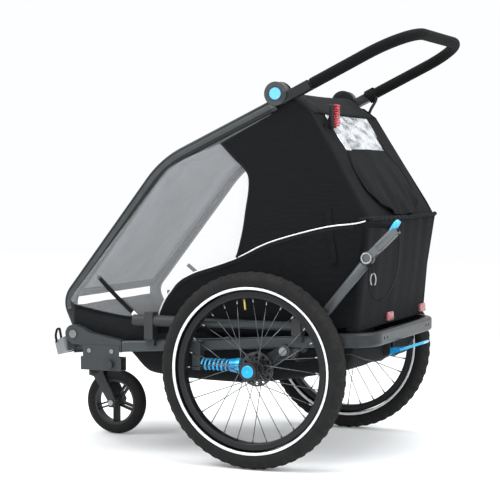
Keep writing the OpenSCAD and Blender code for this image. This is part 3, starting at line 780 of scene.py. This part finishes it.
def tub():
    outer = [(-594, 392), (-586, 364), (-560, 338), (-520, 318), (-480, 296), (-412, 277), (-370, 240), (-340, 222),
             (-232, 209), (-86, 206), (60, 222), (190, 246), (226, 258), (236, 290), (238, 330)]
    line = smooth_path(side_line(outer), 70)
    grid = []
    for q in line:
        y, z = q.x, q.y
        top = 300 + 0.0625 * (y + 404) if y > -480 else 322 + max(0, -y - 500) * 0.6
        side_h = max(top - z, 3)
        r = min(28, side_h)
        wide = 270 if y > -480 else 250
        right = [(wide * c, 0.0) for c in np.linspace(0, (wide - r) / wide, 20)]
        right += [(wide - r * (1 - math.sin(math.radians(a))), r * (1 - math.cos(math.radians(a))))
                  for a in (18, 36, 54, 72, 90)]
        right += [(wide + 8 * t, r + (side_h - r) * t) for t in (0.25, 0.5, 0.75, 1.0)]
        row = [(-x, d) for x, d in right[:0:-1]] + right
        pts = []
        for x, d in row:
            p = P(x, y, z + d)
            p.z += wrinkle(p, (6, 7, 2), 0.0024, 53)
            p.x += math.copysign(wrinkle(p, (2, 12, 6), 0.002, 55), x)
            pts.append(p)
        grid.append(pts)
    obj = sheet_from_grid("footwell_tub", grid, "shell_light", 0.002, body="chassis")
    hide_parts("floor_tub")


for side, tag in ((1, "left"), (-1, "right")):
    side_upper(side, tag)
    side_lower(side, tag)
    footwell_side(side, tag)
    side_window(side, tag)
rear_upper()
rear_lower()
roof()
mesh_front()
tub()


# ---------------------------------------------------------------- seats


def fold_flat(piece):
    """Gives a piece of the seat its own copy of its mesh data."""
    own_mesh(piece)


def pad(name, corner, size, body, node, mat="seat_fabric", lean=0.0, channels=(), cap=0.012):
    """A stuffed pad, swollen by a cloth simulation, with sewn channels pressed in afterwards.

    corner is its low middle front in metres, size its width, depth and height, lean its tilt about X.
    """
    bm = bmesh.new()
    bmesh.ops.create_cube(bm, size=1)
    for v in bm.verts:
        v.co = Vector((v.co.x * size[0], v.co.y * size[1], v.co.z * size[2]))
    bmesh.ops.bevel(bm, geom=bm.edges[:], offset=min(size) * 0.3, segments=3, profile=0.6, affect="EDGES")
    bmesh.ops.recalc_face_normals(bm, faces=bm.faces)
    mesh = bpy.data.meshes.new(name)
    bm.to_mesh(mesh)
    bm.free()
    obj = bpy.data.objects.new(name, mesh)
    bpy.context.collection.objects.link(obj)
    obj.location = corner
    obj.rotation_euler = (lean, 0, 0)
    bpy.context.view_layer.objects.active = obj
    obj.select_set(True)
    bpy.ops.object.transform_apply(location=False, rotation=False, scale=True)
    remesh = obj.modifiers.new("remesh", "REMESH")
    remesh.mode = "VOXEL"
    remesh.voxel_size = 0.0062
    bpy.ops.object.modifier_apply(modifier=remesh.name)
    start = np.array([v.co for v in obj.data.vertices])
    cloth = obj.modifiers.new("cloth", "CLOTH")
    cloth.settings.use_pressure = True
    cloth.settings.uniform_pressure_force = 4
    cloth.settings.effector_weights.gravity = 0
    cloth.settings.quality = 4
    cloth.point_cache.frame_start, cloth.point_cache.frame_end = 1, 20
    for step in range(1, 21):
        bpy.context.scene.frame_set(step)
    bpy.ops.object.modifier_apply(modifier=cloth.name)
    bpy.context.scene.frame_set(1)
    now = np.array([v.co for v in obj.data.vertices])
    move = now - start
    far = np.linalg.norm(move, axis=1, keepdims=True)
    now = start + move * np.minimum(1, cap / np.maximum(far, 1e-9))
    thin = int(np.argmin(size))
    wide = [k for k in range(3) if k != thin]
    for at, axis, width, depth in channels:
        gap = np.abs(now[:, axis] - at)
        press = depth * np.exp(-(gap / width) ** 2)
        now[:, thin] -= np.sign(now[:, thin]) * press
    edge = np.maximum(np.abs(now[:, wide[0]]) / (size[wide[0]] / 2), np.abs(now[:, wide[1]]) / (size[wide[1]] / 2))
    pinch = np.clip((edge - 0.93) / 0.1, 0, 1) * 0.15
    now[:, thin] *= 1 - pinch
    obj.data.vertices.foreach_set("co", now.ravel().astype(np.float32))
    obj.data.update()
    sub = obj.modifiers.new("smooth", "SUBSURF")
    sub.levels = sub.render_levels = 1
    bpy.ops.object.modifier_apply(modifier=sub.name)
    bpy.ops.object.transform_apply(location=True, rotation=True, scale=True)
    obj.select_set(False)
    finish_piece(obj, mat, body)
    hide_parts(node)
    return obj


BACK_LEAN = math.atan2(62, 522)


def seats():
    for x, tag in ((-0.113, "right"), (0.113, "left")):
        pad("seat_cushion_" + tag, P(0, -38, 335.5) + Vector((x, 0, 0)), (0.21, 0.24, 0.026), "chassis", "seat_cushion",
            channels=[(-0.05, 1, 0.006, 0.004), (0.035, 1, 0.006, 0.004), (0, 0, 0.006, 0.003)])
        back = pad("seat_back_" + tag, P(0, 69, 622) + Vector((x, 0, 0)), (0.21, 0.018, 0.49), None, "seat_back",
                   lean=BACK_LEAN, cap=0.008,
                   channels=[(-0.13, 2, 0.007, 0.003), (0.0, 2, 0.007, 0.003), (0.13, 2, 0.007, 0.003)])
        fold_flat(back)


seats()


def on_seat(x, z, out):
    """A point in front of the seat back at that height."""
    return P(x, 100 - (z - 358) * 62 / 522 - 9 - out, z)


def harness():
    parts, pads = [], []
    for x in (-157, -67, 67, 157):
        points = smooth_path([on_seat(x, 845, -3), on_seat(x, 820, 3), on_seat(x, 700, 5), on_seat(x, 560, 6),
                              on_seat(x * 0.97 + (3 if x > 0 else -3), 470, 10), on_seat(x, 425, 14)], 34)
        parts.append(swept(points, rounded(0.024, 0.0018, 0.0008, 2), (1, 0, 0)))
        pads.append(swept(smooth_path([on_seat(x, 770, 7), on_seat(x, 690, 9), on_seat(x, 590, 9)], 24),
                          rounded(0.042, 0.011, 0.005, 4), (1, 0, 0)))
    for centre in (-112, 112):
        crotch = smooth_path([P(centre, -30, 352), P(centre, 10, 366), P(centre, 50, 396),
                              on_seat(centre, 430, 18)], 20)
        parts.append(swept(crotch, rounded(0.03, 0.002, 0.0009, 2), (1, 0, 0)))
        for side in (-1, 1):
            lap = smooth_path([P(centre + side * 96, 84, 356), P(centre + side * 70, 60, 392),
                               on_seat(centre + side * 24, 432, 18)], 18)
            parts.append(swept(lap, rounded(0.024, 0.0018, 0.0008, 2), [Vector((0, 0.3, 1))] * 18))
        profile = [(0, 0.001), (0, 0.021), (0.003, 0.0235), (0.009, 0.0235), (0.012, 0.021), (0.0125, 0.001)]
        tag = "left" if centre > 0 else "right"
        buckle = turned_solid("buckle_" + tag, on_seat(centre, 432, 14), (0, -1, 0.1), profile,
                              "black_plastic", None)
        fold_flat(buckle)
        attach(buckle, "chassis")
    straps = joined("harness_straps", parts, "webbing", None)
    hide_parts("harness")
    fold_flat(straps)
    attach(straps, "chassis")
    cushions = joined("harness_pads", pads, "seat_fabric", None)
    fold_flat(cushions)
    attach(cushions, "chassis")


harness()
for tag in ("left", "right"):
    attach(bpy.data.objects["seat_back_" + tag], "chassis")


# ---------------------------------------------------------------- frame details

def frame_tubes():
    for side, tag in ((1, "left"), (-1, "right")):
        path = filleted([P(side * 262, y, z) for y, z in ((-551, 316), (-594, 410), (-298, 785), (10, 930), (22, 936))],
                        [0.05, 0.25, 0.02], 14)
        core = rounded(0.0258, 0.032, 0.0075, 5)
        parts = [swept(path, core, (1, 0, 0))]
        joined("frame_tube_" + tag, parts, "frame_metal", "upper_frame")
        # a lighter strip on the tube's outer face: a painted highlight where light catches the tube
        highlight_path = [p + Vector((side * 0.0135, 0, 0)) for p in path[2:]]
        joined("tube_bead_" + tag, [swept(highlight_path, rounded(0.0022, 0.013, 0.001, 2), (1, 0, 0))],
               "frame_light", "upper_frame")
    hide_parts("frame_tubes")


frame_tubes()


# ---------------------------------------------------------------- wheels

WHEEL_X, TYRE_R, TYRE_HALF = 370.5, 254.0, 25.0


def ring_points(centre, radius_at, x_at, count, steps):
    verts = []
    for i in range(count):
        t = 2 * math.pi * i / count
        for k in range(steps):
            r, x = radius_at(k, i), x_at(k, i)
            verts.append((centre.x + x, centre.y + r * math.cos(t), centre.z + r * math.sin(t)))
    return verts


def lathe(count, steps, closed=True):
    faces = []
    for i in range(count):
        j = (i + 1) % count
        for k in range(steps if closed else steps - 1):
            m = (k + 1) % steps
            faces.append([i * steps + k, j * steps + k, j * steps + m, i * steps + m])
    return faces


def tyre(side, tag):
    count, steps = 336, 40
    middle = (TYRE_R - TYRE_HALF) / 1000
    centre = P(side * WHEEL_X, 0, 254)

    def section(k, i):
        a = 2 * math.pi * k / steps
        r = TYRE_HALF / 1000
        crown = math.cos(a)
        if crown > 0.45:
            block = (i // 3) % 2 == 0 if crown > 0.8 else (i // 3) % 2 == 1
            row = abs(math.sin(a))
            groove = abs(row - 0.34) < 0.09 or row < 0.07
            if groove or not block:
                r -= 0.0017
        elif crown < -0.75:
            r -= 0.004
        return middle + r * crown, r * math.sin(a)

    verts = ring_points(centre, lambda k, i: section(k, i)[0], lambda k, i: section(k, i)[1], count, steps)
    obj = joined("tyre_body_" + tag, [(verts, lathe(count, steps))], "tyre_rubber", "wheel_" + tag)
    obj.data.materials.append(MAT["tread_rubber"])
    for face in obj.data.polygons:
        c = face.center
        r = math.hypot(c.y - centre.y, c.z - centre.z)
        face.material_index = 1 if r > middle + 0.0095 else 0
        face.use_smooth = r < middle + 0.0095
    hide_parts("tyre_" + tag)
    for out in (1, -1):
        profile = [(0.2085, 0.0212), (0.2095, 0.0222), (0.2145, 0.0242), (0.2155, 0.0236)]
        profile += [(0.2145, 0.0215), (0.2095, 0.0200)]
        ring = ring_points(centre, lambda k, i: profile[k][0], lambda k, i: out * profile[k][1], 160, len(profile))
        joined("tyre_ring_%s_%s" % (tag, "out" if out * side > 0 else "in"), [(ring, lathe(160, len(profile)))],
               "reflective_silver", "wheel_" + tag)


def spokes(side, tag):
    centre = P(side * WHEEL_X, 0, 254)
    parts, nipples = [], []
    for i in range(28):
        flange = 0.020 if i % 2 == 0 else -0.020
        a = 2 * math.pi * i / 28
        b = a + math.radians(62) * (1 if (i // 2) % 2 == 0 else -1)
        near = centre + Vector((flange, 0.0225 * math.cos(b), 0.0225 * math.sin(b)))
        rim_r = 0.1875
        far = centre + Vector((flange * 0.1, rim_r * math.cos(a), rim_r * math.sin(a)))
        parts.append(swept([near, near.lerp(far, 0.5), far], circle(0.00115, 8)))
        way = (far - near).normalized()
        nipples.append(swept([far - way * 0.014, far - way * 0.012, far], circle(0.0022, 8), scale=[0.7, 1, 1]))
    obj = joined("spoke_set_" + tag, parts, "spoke_steel", "wheel_" + tag)
    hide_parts("spokes_" + tag)
    joined("spoke_nipples_" + tag, nipples, "bolt_steel", "wheel_" + tag)
    angle = math.radians(97)
    out = Vector((0, math.cos(angle), math.sin(angle)))
    base = centre + out * 0.190
    tube("valve_" + tag, [base, base - out * 0.012, base - out * 0.024, base - out * 0.034], 0.0032, "brass",
         "wheel_" + tag, 12)


def spring(side, tag):
    x = side * 329.5
    points = []
    turns, steps = 6.6, 24
    total = int(turns * steps)
    for i in range(total + 1):
        a = 2 * math.pi * i / steps
        squeeze = min(i, total - i, steps) / steps
        points.append(P(x + 13.6 * math.cos(a), -157 + 77 * i / total + 1.5 * (1 - squeeze), 260 + 13.6 * math.sin(a)))
    obj = joined("coil_" + tag, [swept(points, circle(0.0027, 10))], "blue_anodised", None)
    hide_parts("spring_" + tag)
    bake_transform(obj)
    rod = tube("damper_rod_" + tag, [P(x, -158, 260), P(x, -120, 260), P(x, -76, 260)], 0.0058, "bolt_steel", None, 20)
    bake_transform(rod)


for side, tag in ((1, "left"), (-1, "right")):
    tyre(side, tag)
    spokes(side, tag)
    spring(side, tag)


# ---------------------------------------------------------------- straps, reflectors and small parts

def small_parts():
    for x, tag in ((38, "middle"), (-260, "right")):
        centre = P(x, 264, 376)
        front = rounded(0.044, 0.023, 0.003, 3)
        steps = [centre + Vector(step) for step in ((0, -0.008, 0), (0, 0.0005, 0), (0, 0.0018, 0.0001))]
        verts, faces = swept(steps,
                             front, (1, 0, 0), scale=[1, 1, 0.94])
        obj = joined("reflector_" + tag, [(verts, faces)], "reflector_red", "chassis")
        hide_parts("reflectors")
    lens = []
    for k in range(9):
        z = 880 + 6.4 * k
        lens.append(swept([P(190, 163, z), P(190, 163, z + 2.6), P(190, 163, z + 5.2)], rounded(0.023, 0.013, 0.005, 4),
                          (1, 0, 0), scale=[0.9, 1, 0.9]))
    light = joined("tail_light_lens", lens, "red_lens", "upper_frame")
    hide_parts("tail_light")
    joined("tail_light_body", [swept([P(190, 152, 876), P(190, 152, 880), P(190, 152, 934), P(190, 152, 938)],
                                     rounded(0.026, 0.016, 0.006, 4), (1, 0, 0), scale=[0.85, 1, 1, 0.85])],
           "black_plastic", "upper_frame")
    band = [rear_point(230, 0.14, 2), P(208, 146, 892), P(190, 141, 903), P(172, 143, 900), rear_point(150, 0.10, 8)]
    strap("tail_light_band", smooth_path(band, 24), 0.014, 0.002, "webbing", "upper_frame", (0, 0.4, 1))
    # Tie straps from the frame's foot to the lower panel's front corner
    for side, tag in ((1, "left"), (-1, "right")):
        x = side * 297
        line = smooth_path([P(x - side * 8, -489, 480), P(x, -450, 446), P(x, -400, 402), P(x, -371, 378)], 24)
        foot = strap("foot_strap_" + tag, line, 0.012, 0.0016, "webbing", None, (0, 0.75, 0.66))
        across_fold(foot)
        tip = [P(x + side * 1, -379, 385), P(x + side * 1, -372, 379), P(x + side * 1, -362, 371)]
        strap("foot_strap_tip_" + tag, tip,
              0.0125, 0.0024, "reflective_silver", "chassis", (0, 0.75, 0.66))
    sleeve = [P(high_x(186, z) + 2.5 if z > 630 else low_x(z) + 3, 186 + (626 - z) * 0.16, z)
              for z in (668, 650, 632, 600, 560, 528)]
    strap("flag_sleeve", even(sleeve, 20), 0.017, 0.003, "webbing", "chassis", (0, 1, 0.16))
    nose = smooth_path([P(150, -696, 276), P(150, -700, 294), P(154, -694, 312), P(160, -684, 318),
                        P(166, -676, 306), P(166, -672, 284)], 30)
    strap("front_loop", nose, 0.011, 0.0022, "webbing", "chassis", (1, 0, 0))


small_parts()


def drawbar_details():
    low, high = P(322, 188, 412), P(322, 284, 529)
    way = (high - low).normalized()
    tape = [low, low + way * 0.001, high - way * 0.001, high]
    joined("drawbar_tape", [swept(tape, circle(0.01275, 24), scale=[0.97, 1, 1, 0.97])],
           "frame_light", "chassis")
    # Safety strap: out of the hitch end, down in a loop, and back up to the bag's top corner
    loop = smooth_path([P(324, 372, 622), P(324, 377, 590), P(324, 372, 520), P(323, 350, 462), P(322, 320, 440),
                        P(321, 300, 462), P(321, 296, 500), P(322, 300, 536)], 48)
    strap("safety_strap", loop, 0.012, 0.002, "webbing", "chassis", (1, 0, 0))
    hook = []
    for i in range(25):
        a = math.radians(-60 + 300 * i / 24)
        hook.append(P(325, 309 + 7 * math.cos(a), 492 + 16 * math.sin(a)))
    joined("carabiner", [swept(hook, circle(0.0017, 10))], "ring_steel", "chassis")
    tab = smooth_path([P(325, 300, 538), P(325, 306, 522), P(325, 309, 507)], 12)
    strap("carabiner_tab", tab, 0.010, 0.002, "webbing", "chassis", (1, 0, 0))
    clip = [P(322, 352, 606), P(322, 358, 617), P(322, 368, 632), P(322, 374, 640)]
    joined("blue_clip", [swept(clip, rounded(0.024, 0.013, 0.005, 4), (1, 0, 0), scale=[0.8, 1, 1, 0.8])],
           "blue_anodised", "hitch")
    ring = []
    for i in range(33):
        a = 2 * math.pi * i / 32
        ring.append(P(337.5, 294 + 12.5 * math.cos(a), 546 + 12.5 * math.sin(a)))
    joined("hitch_eye_ring", [swept(ring, circle(0.0022, 10), closed_ends=False)], "ring_steel", "hitch")
    # Tie that holds the stowed drawbar's end to the bag's hem
    tie = smooth_path([P(308, 268, 632), P(318, 300, 629), P(324, 334, 628), P(324, 352, 624)], 20)
    strap("drawbar_tie", tie, 0.014, 0.002, "webbing", "chassis", (0, 0.2, 1))
    # Wrist strap, wound twice round the right handle arm and hanging down to the rear panel
    slope = math.radians(26)
    along = Vector((0, math.cos(slope), math.sin(slope)))
    up = Vector((0, -math.sin(slope), math.cos(slope)))
    centre = P(-262, 26, 964) + along * 0.072 - up * 0.020
    wound = []
    for i in range(61):
        a = 2 * math.pi * i / 24
        wound.append(centre + along * (0.018 * i / 60) + (Vector((1, 0, 0)) * math.cos(a) + up * math.sin(a)) * 0.0185)
    joined("wrist_strap_wrap", [swept(wound, rounded(0.012, 0.0028, 0.001, 2), [along] * 61)], "webbing", "handlebar")
    hang = smooth_path([centre + along * 0.014 - up * 0.019, P(-262, 100, 925), P(-263, 122, 895),
                        P(-266, 140, 872)], 24)
    tail = strap("wrist_strap", hang, 0.022, 0.0026, "webbing", None, (1, 0, 0))
    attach(tail, "handlebar")


drawbar_details()


# ---------------------------------------------------------------- stage, light and camera

def stage():
    centre = P(0, 0, 0)
    size = 9.0
    mesh = bpy.data.meshes.new("floor")
    n = 24
    points = [(size * (2 * i / n - 1), centre.y + size * (2 * j / n - 1), 0)
              for j in range(n + 1) for i in range(n + 1)]
    faces = [[j * (n + 1) + i, j * (n + 1) + i + 1, (j + 1) * (n + 1) + i + 1, (j + 1) * (n + 1) + i]
             for j in range(n) for i in range(n)]
    mesh.from_pydata(points, [], faces)
    floor = bpy.data.objects.new("floor", mesh)
    bpy.context.collection.objects.link(floor)
    mat = bpy.data.materials.new("floor_paper")
    mat.use_nodes = True
    tree = mat.node_tree
    bsdf = tree.nodes["Principled BSDF"]
    bsdf.inputs["Base Color"].default_value = (0.86, 0.875, 0.885, 1)
    bsdf.inputs["Roughness"].default_value = 0.6
    bsdf.inputs["Specular IOR Level"].default_value = 0.2
    glow = tree.nodes.new("ShaderNodeEmission")
    glow.inputs["Color"].default_value = (1, 1, 1, 1)
    glow.inputs["Strength"].default_value = 1.0
    mix = tree.nodes.new("ShaderNodeMixShader")
    coord = tree.nodes.new("ShaderNodeTexCoord")
    length = tree.nodes.new("ShaderNodeVectorMath")
    length.operation = "LENGTH"
    fade = tree.nodes.new("ShaderNodeMapRange")
    fade.interpolation_type = "SMOOTHSTEP"
    fade.inputs["From Min"].default_value = 1.0
    fade.inputs["From Max"].default_value = 3.4
    link = tree.links.new
    link(coord.outputs["Object"], length.inputs[0])
    link(length.outputs["Value"], fade.inputs["Value"])
    link(fade.outputs[0], mix.inputs["Fac"])
    link(bsdf.outputs[0], mix.inputs[1])
    link(glow.outputs[0], mix.inputs[2])
    link(mix.outputs[0], tree.nodes["Material Output"].inputs["Surface"])
    mesh.materials.append(mat)
    world = bpy.data.worlds.new("studio")
    bpy.context.scene.world = world
    world.use_nodes = True
    back = world.node_tree.nodes["Background"]
    back.inputs["Color"].default_value = (0.985, 0.99, 1, 1)
    back.inputs["Strength"].default_value = 1.0


def area_light(name, where, aim, size, power, colour=(1, 1, 1)):
    data = bpy.data.lights.new(name, "AREA")
    data.shape = "RECTANGLE"
    data.size, data.size_y = size
    data.energy = power
    data.color = colour
    lamp = bpy.data.objects.new(name, data)
    bpy.context.collection.objects.link(lamp)
    lamp.location = where
    lamp.rotation_euler = (Vector(aim) - Vector(where)).to_track_quat("-Z", "Y").to_euler()


def lights():
    aim = P(0, 0, 500)
    area_light("key", P(2300, -2100, 3200), aim, (2.6, 1.8), 120)
    area_light("top", P(0, 100, 3600), aim, (3.2, 3.2), 90)
    area_light("rear", P(600, 3300, 2100), aim, (2.4, 2.0), 90)
    area_light("side", P(4200, 700, 900), aim, (2.2, 1.6), 40)


def camera():
    data = bpy.data.cameras.new("camera")
    data.sensor_width = 36
    data.lens = 114.5
    cam = bpy.data.objects.new("camera", data)
    bpy.context.collection.objects.link(cam)
    cam.location = P(4106.56, 1560.61, 758.3)
    aim = P(0, -161.7, 543.3)
    cam.rotation_euler = (aim - cam.location).to_track_quat("-Z", "Y").to_euler()
    bpy.context.scene.camera = cam


stage()
lights()
camera()
bpy.context.scene.view_settings.view_transform = "Standard"
